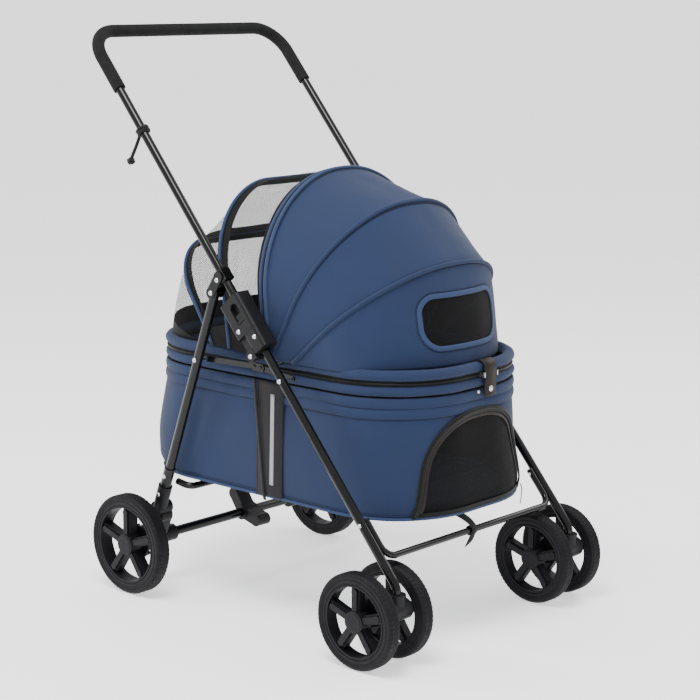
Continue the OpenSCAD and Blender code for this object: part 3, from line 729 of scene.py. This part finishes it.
def lofted(a, b, rows, bulge_top, bulge_side, seed, amp=0.0012):
    """A cloth stretched between two lines, with a slight crown or hollow between them."""
    out = []
    u = np.linspace(-1, 1, len(a))
    top = np.clip(1 - np.abs(u) * 1.15, 0, 1) ** 0.7
    for t in np.linspace(0, 1, rows):
        p = a * (1 - t) + b * t
        crown = math.sin(math.pi * t) ** 0.8 if 0 < t < 1 else 0.0
        lift = (bulge_top * top + bulge_side * (1 - top) * np.clip((1 - np.abs(u)) * 6, 0, 1)) * crown
        wr = np.array([amp * wobble(q, 14, seed) + 0.4 * amp * wobble(q, 40, seed) for q in p]) * min(1, crown * 2)
        out.append(p + outward(p) * (lift + wr)[:, None])
    return np.array(out)


def panel(name, a, b, stands, bulge, seed):
    p = lofted(a, b, 18, *bulge, seed)
    o = grid(name, p, "navy", uv=True)
    tidy_normals(o)
    if (o.data.polygons[len(o.data.polygons) // 2].normal @ Vector(outward(p[9, N // 2]))) < 0:
        o.data.flip_normals()
    thicken(o, 0.0014, inner="lining")
    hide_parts(stands)
    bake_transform(o)
    return o


panel("canopy_rear", middle_hoop, zip_hoop, "rear_panel", (-0.0035, 0.004), 11)
panel("canopy_middle", front_hoop, middle_hoop, "middle_panel", (-0.0030, 0.004), 12)

# the front panel runs from the front hoop down to the rim, and holds the window
foot = front_hoop[0][0]
edge = []
for a in np.linspace(-90, 90, 121):
    c = math.cos(math.radians(a))
    inset = -0.0015 + 0.0215 * step(c, 0.0, 0.75)
    r = CORNER - inset
    edge.append((TX1 - CORNER + r * c, math.copysign(HALF - CORNER, a) * abs(math.sin(math.radians(a))) + r * math.sin(math.radians(a)),
                 LID_Z + 0.003 + 0.0025 * step(c, 0.0, 0.5)))
base = resample(np.array([(foot, -(HALF + 0.0015), LID_Z + 0.003)] + edge + [(foot, HALF + 0.0015, LID_Z + 0.003)]), N)
rows = []
u = np.linspace(-1, 1, N)
pushed = np.clip(np.cos(u * math.pi / 2), 0, 1)
for t in np.linspace(0, 1, 34):
    a, b = front_hoop, base
    out = np.column_stack([pushed, 0.55 * np.sign(u) * np.sqrt(np.clip(1 - pushed ** 2, 0, 1)), 0 * u])
    ctrl = (a + b) / 2 + out * (0.002 + 0.002 * pushed)[:, None]
    q = a * (1 - t) ** 2 + ctrl * 2 * t * (1 - t) + b * t * t
    wr = np.array([0.0012 * wobble(v, 13, 21) + 0.0005 * wobble(v, 40, 22) for v in q]) * math.sin(math.pi * t)
    rows.append(q + out * wr[:, None])
surface = np.array(rows)
front = grid("canopy_front", surface, "navy", uv=True)
tidy_normals(front)
if front.data.polygons[len(front.data.polygons) // 2].normal.x < 0:
    front.data.flip_normals()


def window_outline(grow=0.0, n=16):
    """A wide window with round corners, a little lower at its lower corners."""
    z0, z1 = 0.4870 - grow, 0.5620 + grow
    h, r, q = 0.088 + grow, 0.030 + grow, 0.024 + grow
    pts = []
    for cx, cz, e, a0 in ((h - q, z1 - q, q, 90), (-(h - q), z1 - q, q, 180), (-(h - r), z0 + r, r, 270), (h - r, z0 + r, r, 360)):
        for i in range(n + 1):
            a = math.radians(a0 - 90 + 90 * i / n)
            pts.append((cx + e * math.cos(a), cz + e * math.sin(a)))
    return pts


from mathutils.bvhtree import BVHTree

bm = bmesh.new()
bm.from_mesh(front.data)
tree = BVHTree.FromBMesh(bm)


def on_front(outline, n, out=0.0):
    path = resample(np.array([(0, y, z) for y, z in outline]), n, closed=True)
    pts, nrm = [], []
    for _, y, z in path:
        hit, normal, _, _ = tree.ray_cast(Vector((TX1 + 0.2, y, z)), Vector((-1, 0, 0)))
        if normal.x < 0:
            normal = -normal
        pts.append(hit + normal * out)
        nrm.append(normal)
    return np.array(pts), np.array(nrm)


rim_pts, rim_nrm = on_front(window_outline(0.0045), 130, 0.0006)
rim_out, rim_out_nrm = on_front(window_outline(0.0105), 130, 0.0002)
bm.free()
window = front.copy()
window.data = front.data.copy()
window.name = window.data.name = "window_net"
bpy.context.scene.collection.objects.link(window)
window.data.materials.clear()
window.data.materials.append(M["fine_net"])
thicken(front, 0.0014, inner="lining")
cut(front, prism("window_cut", window_outline(0.002), TX1 - 0.13, TX1 + 0.05))
m = window.modifiers.new("thick", "SOLIDIFY")
m.thickness = 0.0007
m.offset = -2.2
evaluated(window)
cut(window, prism("window_keep", window_outline(0.006), TX1 - 0.13, TX1 + 0.05), "INTERSECT")
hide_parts("front_panel")
binding = sweep("window_binding", rim_pts, strap_profile(0.0085, 0.0026), "binding", closed=True, up=rim_nrm)
stitch = sweep("window_stitch", rim_out, strap_profile(0.0012, 0.0010), "dark_binding", closed=True, up=rim_out_nrm)
for o in (front, window, binding, stitch):
    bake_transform(o)


# hoop sleeves: the cloth tunnels that hold the wires
def sleeve(name, line, body, mat, r=0.0036, out=0.0012, node=None):
    up = outward(line)
    o = sweep(name, line + up * out, round_profile(r, 12, 0.92), mat, up=up)
    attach(o, body)
    if node:
        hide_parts(node)
    return o


sleeve("front_hoop_sleeve", front_hoop, "hoop_front", "navy", 0.0038, node="front_hoop")
sleeve("middle_hoop_sleeve", middle_hoop, "hoop_middle", "navy", 0.0038, node="middle_hoop")
sleeve("zip_hoop_sleeve", zip_hoop, "hoop_zip", "binding", 0.0036, node="zip_hoop")


# Thin dark strips just in front of each hoop sleeve: painted shade, the shadow line the sleeve casts on the panel, not
# a real seam.
def seam_shadow_beside(name, a, b, share, body, width=0.0011):
    line = a * (1 - share) + b * share
    up = outward(line)
    o = sweep(name, line[2:-2] + up[2:-2] * 0.0008, strap_profile(width, 0.0008), "dark_binding", up=up[2:-2])
    return riding(o, body)


# painted shade strips beside the three hoops
seam_shadow_beside("front_hoop_seam_shadow", front_hoop, base, 0.030, "hoop_front")
seam_shadow_beside("middle_hoop_seam_shadow", middle_hoop, front_hoop, 0.045, "hoop_middle")
seam_shadow_beside("zip_hoop_seam_shadow", zip_hoop, middle_hoop, 0.040, "hoop_zip")

# zip band between the canopy and the hood
band = np.array([zip_hoop * (1 - t) + hood_0 * t + outward(zip_hoop) * 0.0016 * math.sin(math.pi * t)
                 for t in np.linspace(0.12, 0.9, 7)])
zip_band = grid("canopy_zip_tape", band, "black_cloth")
thicken(zip_band, 0.0012)
riding(zip_band, "lid")
coil = zip_hoop * 0.5 + hood_0 * 0.5 + outward(zip_hoop) * 0.0028
riding(sweep("canopy_zip_coil", coil, round_profile(0.0015, 8), "zip", up=outward(coil)), "lid")


# ------------------------------------------------------------------ hood
def net(name, a, b, rows, bulge, seed, mat, borders):
    p = lofted(a, b, rows, bulge, bulge, seed, 0.0012)
    cols = p.shape[1]
    solid = np.zeros((rows, cols))
    r0, r1, foot = borders
    solid[:r0 + 1] = 1
    solid[rows - r1 - 1:] = 1
    solid[:, :foot] = 1
    solid[:, cols - foot:] = 1
    o = grid(name, p, mat, uv=True, solid=solid)
    return riding(o, "lid")


hood = net("hood_net_front", hood_0, hood_1, 21, 0.002, 31, "hood_net", (1, 3, 3))
net("hood_net_middle", hood_1, hood_2, 21, -0.004, 32, "hood_net", (1, 2, 4))
rear = [(q[0], q[1]) for q, m in zip(*plan(0.0125)) if q[0] < RX + 0.118]
rear = sorted(rear, key=lambda q: math.atan2(q[1], -(q[0] - (RX + 0.118))))
rear = [(RX + 0.1180, -(HALF - 0.0125))] + rear + [(RX + 0.1180, HALF - 0.0125)]
rear_line = resample(np.array([(x, y, LID_Z + 0.0085) for x, y in rear]), N)
back = net("hood_back", hood_2, rear_line, 24, 0.003, 33, "hood_net", (1, 4, 3))
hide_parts("hood_mesh")
for i, (line, r) in enumerate(((hood_0, 0.0034), (hood_1, 0.0031), (hood_2, 0.0031))):
    sleeve(f"hood_piping_{i}", line, "lid", "binding", r, 0.0010, "hood_wires" if i == 0 else None)

# ------------------------------------------------------------------ floor pad, made by cloth simulation
pad_low, pad_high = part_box("floor_pad")


def make_pad():
    zs = (pad_low[2] + 0.0015, pad_low[2] + 0.006, pad_high[2] - 0.009, pad_high[2] - 0.005)
    insets = (0.022, 0.016, 0.016, 0.022)
    rows = []
    for z, i in zip(zs, insets):
        q, _ = plan(i, (6, 16, 22, 16, 6, 16, 22, 16))
        rows.append(np.column_stack([q, np.full(len(q), z)]))
    p = np.array(rows)
    k, c = p.shape[:2]
    f = grid_faces(k, c, True, False) + [tuple(range(c))[::-1], tuple((k - 1) * c + j for j in range(c))]
    o = tidy_normals(make("floor_cushion", p.reshape(-1, 3), f, "pad"))
    r = o.modifiers.new("remesh", "REMESH")
    r.mode = "VOXEL"
    r.voxel_size = 0.006
    evaluated(o)
    start = np.array([v.co[:] for v in o.data.vertices])
    c = o.modifiers.new("cloth", "CLOTH")
    c.settings.use_pressure = True
    c.settings.uniform_pressure_force = 4
    c.settings.quality = 5
    c.settings.effector_weights.gravity = 0
    c.point_cache.frame_start, c.point_cache.frame_end = 1, 16
    for f in range(1, 17):
        bpy.context.scene.frame_set(f)
    evaluated(o)
    bpy.context.scene.frame_set(1)
    now = np.array([v.co[:] for v in o.data.vertices])
    move = now - start
    length = np.linalg.norm(move, axis=1)
    move *= (np.minimum(length, 0.006) / np.maximum(length, 1e-9))[:, None]
    now = start + move
    # sewn channels across the pad
    top = now[:, 2] > pad_low[2] + 0.010
    for x in np.arange(TX0 + 0.11, TX1 - 0.05, 0.0875):
        now[:, 2] -= np.where(top, 0.0055 * np.exp(-((now[:, 0] - x) / 0.0045) ** 2), 0)
    now[:, 2] = np.clip(now[:, 2], pad_low[2] + 0.0003, pad_high[2] + 0.003)
    o.data.vertices.foreach_set("co", now.ravel())
    o.data.polygons.foreach_set("use_smooth", [True] * len(o.data.polygons))
    riding(o, "frame", "floor_pad")


make_pad()

# ------------------------------------------------------------------ straps and bands
BAND0, BAND1 = RX + 0.262, RX + 0.325
BAND_X = 0.5 * (BAND0 + BAND1)
BAND_WIDTH = 0.062


def band_lean(z):
    """How far back the band leans at height z."""
    return 0.006 * (0.42 - z) / 0.2


for s, tag in ((-1, "right"), (1, "left")):
    zs = np.linspace(TZ0 + 0.0045, TOP - 0.0006, 40)
    p = [(BAND_X - band_lean(z), s * (HALF + 0.0006 + 0.0008 * wobble((0, 1, z), 20, s)), z) for z in zs]
    riding(sweep(f"side_band_{tag}", p, strap_profile(BAND_WIDTH, 0.0016), "band", up=(0, s, 0)), "frame")
    for dx in (-0.0285, 0.0285):
        q = [(x + dx, y + s * 0.0009, z) for x, y, z in p]
        name = f"band_stitch_{tag}_{'a' if dx < 0 else 'b'}"
        riding(sweep(name, q, strap_profile(0.0010, 0.0008), "dark_binding", up=(0, s, 0)), "frame")
    cord = smooth_path([(RX + 0.258, s * 0.1935, TOP + 0.002), (RX + 0.2625, s * 0.1950, 0.380),
                        (RX + 0.270, s * 0.1945, 0.300),
                        (RX + 0.2765, s * 0.1935, 0.225), (RX + 0.279, s * 0.1915, 0.208)], 50)
    riding(sweep(f"side_strap_{tag}", cord, strap_profile(0.0062, 0.0020), "webbing", up=(0, s, 0)), "frame")
    # one plain reflective stripe down the band
    q = [(BAND_X + 0.006 - band_lean(z), s * (HALF + 0.0018), z) for z in np.linspace(0.236, 0.392, 20)]
    riding(sweep(f"reflector_{tag}", q, strap_profile(0.0085, 0.0008), "reflect", up=(0, s, 0)), "frame")

# ------------------------------------------------------------------ strap round the front bar
BAR_R = 0.0055
WRAP_R = 0.0070
bar_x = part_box("front_bar")[1][0] - BAR_R
bar_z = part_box("front_bar")[0][2] + BAR_R
low_edge = smooth_path([(bar_x - 0.012, -0.040, TZ0 + 0.001), (bar_x - 0.004, -0.026, TZ0 - 0.008),
                        (bar_x + 0.003, -0.012, bar_z + 0.018),
                        (bar_x + 0.0072, -0.003, bar_z + 0.006)], 24)
riding(sweep("bar_strap", low_edge, strap_profile(0.011, 0.0016), "webbing", up=(1, -0.3, 0.4)), "frame")
turn = np.linspace(0, 2 * math.pi, 28, endpoint=False)
loop = np.stack([bar_x + WRAP_R * np.cos(turn), -0.002 + 0.0015 * np.sin(turn), bar_z + WRAP_R * np.sin(turn)], axis=1)
radial = np.stack([np.cos(turn), 0 * turn, np.sin(turn)], axis=1)
riding(sweep("bar_strap_loop", loop, strap_profile(0.014, 0.0026), "webbing", closed=True, up=radial), "frame")
tail = smooth_path([(bar_x + 0.0075, -0.004, bar_z + 0.001), (bar_x + 0.0080, -0.010, bar_z - 0.008),
                    (bar_x + 0.0072, -0.018, bar_z - 0.016),
                    (bar_x + 0.0062, -0.027, bar_z - 0.023)], 20)
riding(sweep("bar_strap_tail", tail, strap_profile(0.010, 0.0014), "webbing", up=(1, 0, 0.1),
             scale=[1 if t < 0.5 else 1 - 1.7 * (t - 0.5) for t in np.linspace(0, 1, 20)]), "frame")

# a small loop on the rear of the carrier
edge = min(((q[0], q[1]) for q in plan(0)[0] if q[0] < 0), key=lambda q: abs(q[1] + 0.130))
loop = smooth_path([(edge[0] + 0.004, -0.130, TZ0 + 0.033), (edge[0] - 0.002, -0.131, TZ0 + 0.029),
                    (edge[0] - 0.0035, -0.131, TZ0 + 0.020),
                    (edge[0] - 0.001, -0.131, TZ0 + 0.012), (edge[0] + 0.005, -0.130, TZ0 + 0.010)], 24)
riding(sweep("rear_loop", loop, strap_profile(0.009, 0.0016), "webbing", up=(-1, 0, 0.02)), "frame")


# ------------------------------------------------------------------ tie cord on the near handle tube
def lump(name, at, size, mat, body, seed):
    """A small crumpled ball of fabric."""
    verts, n, m = [], 18, 11
    for i in range(m):
        a = math.pi * (i + 0.5) / m
        for j in range(n):
            b = 2 * math.pi * j / n
            d = Vector((math.sin(a) * math.cos(b), math.sin(a) * math.sin(b), math.cos(a)))
            k = 1 + 0.30 * noise.noise(d * 2.2 + Vector((seed, 0, 0))) + 0.12 * noise.noise(d * 6 + Vector((0, seed, 0)))
            verts.append([at[q] + d[q] * size[q] * k for q in range(3)])
    f = grid_faces(m, n, True, False) + [tuple(range(n))[::-1], tuple((m - 1) * n + j for j in range(n))]
    return riding(tidy_normals(make(name, verts, f, mat)), body)


TIE_RING_R = 0.0098
TIE_RUN = 0.889
tie_body = "handle"
cos50, sin50 = math.cos(math.radians(50)), math.sin(math.radians(50))
tie_x, tie_y, tie_z = 0.34252 - TIE_RUN * cos50, -0.228, 0.134 + TIE_RUN * sin50
turn = np.linspace(0, 2 * math.pi, 30, endpoint=False)
for i, shift in enumerate((-0.0030, 0.0028)):
    ring = [(tie_x - shift * cos50 + TIE_RING_R * math.cos(a) * sin50, tie_y + TIE_RING_R * math.sin(a),
             tie_z + shift * sin50 + TIE_RING_R * math.cos(a) * cos50) for a in turn]
    riding(sweep(f"tie_loop_{i}", ring, round_profile(0.0026, 10), "webbing", closed=True, up=(-cos50, 0, sin50)),
           tie_body)
tie_knot = lump("tie_knot", (tie_x + 0.0085 * sin50, tie_y - 0.001, tie_z + 0.0085 * cos50),
                (0.0062, 0.0060, 0.0062), "webbing", tie_body, 3.0)
tie_path = smooth_path([(tie_x - 0.0100 * sin50, tie_y, tie_z - 0.0100 * cos50),
                        (tie_x - 0.0125, tie_y - 0.0005, tie_z - 0.017),
                        (tie_x - 0.0185, tie_y - 0.0010, tie_z - 0.029),
                        (tie_x - 0.0255, tie_y - 0.0015, tie_z - 0.041),
                        (tie_x - 0.0300, tie_y - 0.0020, tie_z - 0.050)], 40)
tie_cord = sweep("tie_cord", tie_path, round_profile(0.0030, 12), "webbing", up=(0, 1, 0))
riding(tie_cord, tie_body, "handle_tie")
tie_end = lump("tie_end_knot", (tie_x - 0.0300, tie_y - 0.0020, tie_z - 0.0525),
               (0.0078, 0.0066, 0.0062), "webbing", tie_body, 8.0)

# ------------------------------------------------------------------ latch
low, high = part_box("front_latch")
lx, ly = low[0], (low[1] + high[1]) / 2
path = smooth_path([(lx - 0.0125, ly, LID_Z + 0.0095), (lx - 0.004, ly, LID_Z + 0.0108),
                    (lx + 0.0035, ly, LID_Z + 0.003), (lx + 0.0048, ly, GAP_Z - 0.002),
                    (lx + 0.0042, ly, GAP_Z - 0.018), (lx + 0.0038, ly, low[2] + 0.001)], 40)
tab = sweep("latch_tab", path, strap_profile(0.030, 0.0036), "leather", up=(1, 0, 0.35))
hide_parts("front_latch")
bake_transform(tab)


def dome(name, at, axis, r, h, mat, body):
    """A domed stud: a few rings that close to a crown."""
    z = Vector(axis).normalized()
    x = z.orthogonal().normalized()
    y = z.cross(x)
    prof = [(1.0, 0.0), (1.0, 0.25), (0.92, 0.55), (0.7, 0.82), (0.4, 0.96), (0.1, 1.0)]
    verts, n = [], 20
    for pr, ph in prof:
        for i in range(n):
            a = 2 * math.pi * i / n
            verts.append(Vector(at) + (x * math.cos(a) + y * math.sin(a)) * r * pr + z * h * ph)
    f = grid_faces(len(prof), n, True, False) + [tuple(range(n))[::-1], tuple((len(prof) - 1) * n + i for i in range(n))]
    return riding(tidy_normals(make(name, verts, f, mat)), body)


dome("latch_stud", (lx + 0.0055, ly, GAP_Z - 0.0235), (1, 0, 0), 0.0050, 0.0022, "steel", "latch")
dome("tray_stud", (TX1 - 0.0002, -0.004, TOP - 0.004), (1, -0.1, 0), 0.0030, 0.0018, "steel", "frame")


# ------------------------------------------------------------------ tyres with a moulded tread
def tyre(node, body):
    low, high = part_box(node)
    c = [(a + b) / 2 for a, b in zip(low, high)]
    r, w = (high[2] - low[2]) / 2, high[1] - low[1]
    depth = 0.014 if r > 0.085 else 0.013
    prof = [(-w / 2 + 0.0010, r - depth), (-w / 2, r - depth + 0.001), (-w / 2, r - 0.0115), (-w / 2 + 0.0008, r - 0.0108),
            (-w / 2 + 0.0008, r - 0.0098), (-w / 2, r - 0.0090)]
    e = 0.0062
    for i in range(6):
        a = math.radians(15 + 60 * i / 5)
        prof.append((-w / 2 + e - e * math.cos(a), r - e + e * math.sin(a)))
    tread0 = len(prof)
    for t in np.linspace(-1, 1, 11)[1:-1]:
        prof.append((t * (w / 2 - e), r - 0.0002 * t * t))
    tread1 = len(prof)
    prof += [(-y, h) for y, h in prof[:12][::-1]]
    n = 264
    pts = []
    for i in range(n):
        a = 2 * math.pi * i / n
        ring = []
        for j, (y, h) in enumerate(prof):
            k = min(j, len(prof) - 1 - j)
            block = ((i + (j // 2) * 2) % 4) < 2
            if tread0 <= j < tread1:
                h -= 0.0 if block else 0.0010
            elif k in (8, 9, 10):
                h -= 0.0 if (i % 4) < 2 else 0.0009
            ring.append((c[0] + h * math.sin(a), c[1] + y, c[2] + h * math.cos(a)))
        pts.append(ring)
    p = np.array(pts)
    o = tidy_normals(make("tread_" + node, p.reshape(-1, 3), grid_faces(n, len(prof), True, True), "tyre"))
    riding(o, body, node)


for s in ("left", "right"):
    tyre(f"rear_tyre_{s}", f"wheel_rear_{s}")
for a in ("left_outer", "left_inner", "right_inner", "right_outer"):
    tyre(f"front_tyre_{a}", f"wheel_front_{a}")

# ------------------------------------------------------------------ stage, light and camera
FLOOR_HALF = 600
corners = [(x * FLOOR_HALF, y * FLOOR_HALF, -0.0005) for x, y in ((-1, -1), (1, -1), (1, 1), (-1, 1))]
floor = make("floor", corners, [(0, 1, 2, 3)], "lining")
fm = material("pale_floor", (0.86, 0.86, 0.86), 0.6)
fn = Nodes(fm)
fn.link(fn.mix(fn.noise(fn.coords(), 3, 2), (0.85, 0.85, 0.85), (0.87, 0.87, 0.87)), fn.b.inputs["Base Color"])
fn.b.inputs["Emission Color"].default_value = (1, 1, 1, 1)
fn.b.inputs["Emission Strength"].default_value = 0.85
floor.data.materials.clear()
floor.data.materials.append(fm)

world = bpy.data.worlds.new("soft")
bpy.context.scene.world = world
world.use_nodes = True
world.node_tree.nodes["Background"].inputs[0].default_value = (1, 1, 1, 1)
world.node_tree.nodes["Background"].inputs[1].default_value = 1.1


def area_light(name, at, to, size, power):
    l = bpy.data.lights.new(name, "AREA")
    l.energy, l.size, l.shape = power, size, "DISK"
    o = bpy.data.objects.new(name, l)
    bpy.context.scene.collection.objects.link(o)
    o.location = at
    o.rotation_euler = (Vector(to) - Vector(at)).to_track_quat("-Z", "Y").to_euler()
    return o


area_light("key", (0.5, -1.3, 3.3), (0, 0, 0.5), 1.6, 130)
area_light("left_fill", (-2.4, -1.6, 1.8), (0, 0, 0.5), 0.5, 34)
area_light("back_rim", (0.8, 2.6, 2.2), (0, 0, 0.6), 1.6, 30)

cam_data = bpy.data.cameras.new("camera")
cam_data.sensor_width = 36
cam_data.lens = 97.35
cam = bpy.data.objects.new("camera", cam_data)
bpy.context.scene.collection.objects.link(cam)
cam.location = (2.1939, -2.3720, 1.0506)
cam.rotation_euler = (math.radians(90 - 10.79), 0, math.radians(42.28))
bpy.context.scene.camera = cam
